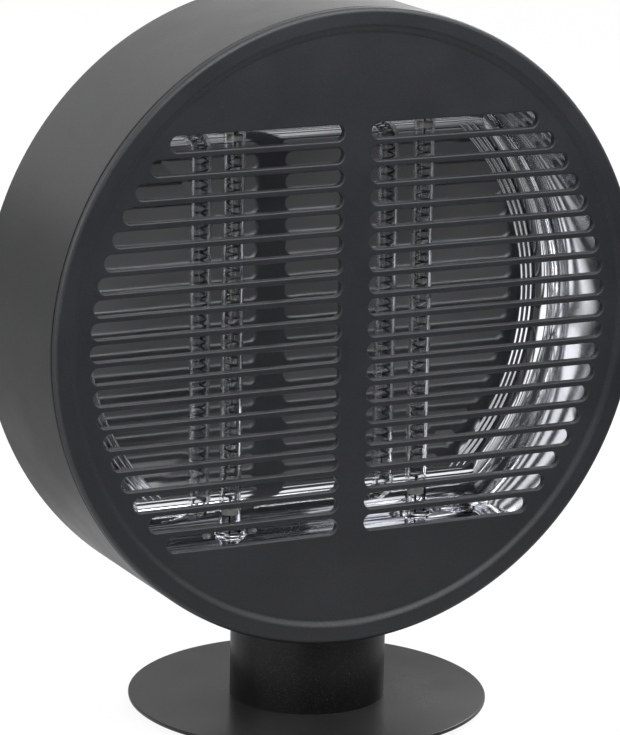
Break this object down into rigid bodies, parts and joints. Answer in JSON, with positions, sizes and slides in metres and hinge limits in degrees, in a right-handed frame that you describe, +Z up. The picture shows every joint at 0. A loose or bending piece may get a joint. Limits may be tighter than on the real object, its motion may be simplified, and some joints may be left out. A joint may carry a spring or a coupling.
{
  "type": "patio heater",
  "caption": "Table-top radiant heater: round slotted drum with a mirror reflector and upright quartz tubes on a short column and flat round base.",
  "frame": {"origin": "on the floor under the column's axis, at the middle of the ring of feet", "axes": "+Z up, the front cover faces -Y, +X is to the right seen from the front"},
  "size_m": [0.32, 0.183, 0.3644],
  "materials": {
    "base_paint": "satin",
    "column_paint": "matte",
    "drum_paint": "matte",
    "cover_paint": "matte",
    "mirror_aluminium": "mirror",
    "rivet_aluminium": "satin",
    "zinc_steel": "satin",
    "zinc_sheet": "matte",
    "black_screw": "satin",
    "quartz": "clear",
    "coil_wire": "matte",
    "white_ceramic": "matte",
    "cream_plastic": "matte",
    "brass": "satin",
    "black_plastic": "matte",
    "switch_plastic": "gloss",
    "black_rubber": "matte",
    "lead_rubber": "satin",
    "white_sleeve": "matte",
    "red_insulation": "satin",
    "green_yellow_insulation": "satin"
  },
  "bodies": {
    "root": {"base_disc": "base_paint", "rubber_feet": "black_rubber", "base_screws": "zinc_steel", "column_tube": "column_paint", "column_foot": "zinc_steel", "column_saddle": "zinc_steel", "saddle_plate": "zinc_steel", "saddle_bolts": "zinc_steel", "lead_bush": "black_rubber", "cable_gland": "black_plastic", "gland_nut": "black_plastic", "supply_lead": "lead_rubber", "drum_shell": "drum_paint", "cover_tabs": "zinc_steel", "chassis_tabs": "zinc_steel", "rear_tabs": "zinc_steel", "front_cover": "cover_paint", "cover_screws": "zinc_steel", "rear_cover": "drum_paint", "rear_cover_screws": "black_screw", "reflector": "mirror_aluminium", "chassis_plate": "zinc_sheet", "chassis_screws": "zinc_steel", "wire_grommets": "black_rubber", "upper_tube_bracket": "zinc_sheet", "lower_tube_bracket": "zinc_sheet", "bracket_screws": "zinc_steel", "ledge_rivets": "rivet_aluminium", "quartz_tube_left": "quartz", "quartz_tube_right": "quartz", "filament_left": "coil_wire", "filament_right": "coil_wire", "coil_holders": "white_ceramic", "end_cap_upper_left": "white_ceramic", "end_cap_upper_right": "white_ceramic", "end_cap_lower_left": "white_ceramic", "end_cap_lower_right": "white_ceramic", "upper_tube_clips": "zinc_steel", "lower_tube_clips": "zinc_steel", "terminal_block": "cream_plastic", "terminal_screws": "brass", "thermal_cutout": "zinc_steel", "tilt_switch_case": "black_plastic", "tilt_pivot_pin": "zinc_steel", "component_screws": "zinc_steel", "switch_body_left": "switch_plastic", "switch_body_right": "switch_plastic", "tube_wires": "white_sleeve", "control_wires": "red_insulation", "earth_wire": "green_yellow_insulation"},
    "pendulum": {"tilt_pendulum": "brass"},
    "left_rocker": {"rocker_left": "switch_plastic"},
    "right_rocker": {"rocker_right": "switch_plastic"}
  },
  "joints": [
    {"name": "pendulum_swing", "type": "hinge", "parent": "root", "child": "pendulum", "pos_m": [-0.056, 0.0245, 0.2044], "axis": [1, 0, 0], "range_deg": [-30, 30]},
    {"name": "left_rocker_tilt", "type": "hinge", "parent": "root", "child": "left_rocker", "pos_m": [-0.014, 0.0395, 0.1594], "axis": [1, 0, 0], "range_deg": [0, 16]},
    {"name": "right_rocker_tilt", "type": "hinge", "parent": "root", "child": "right_rocker", "pos_m": [0.014, 0.0395, 0.1594], "axis": [1, 0, 0], "range_deg": [0, 16]}
  ]
}
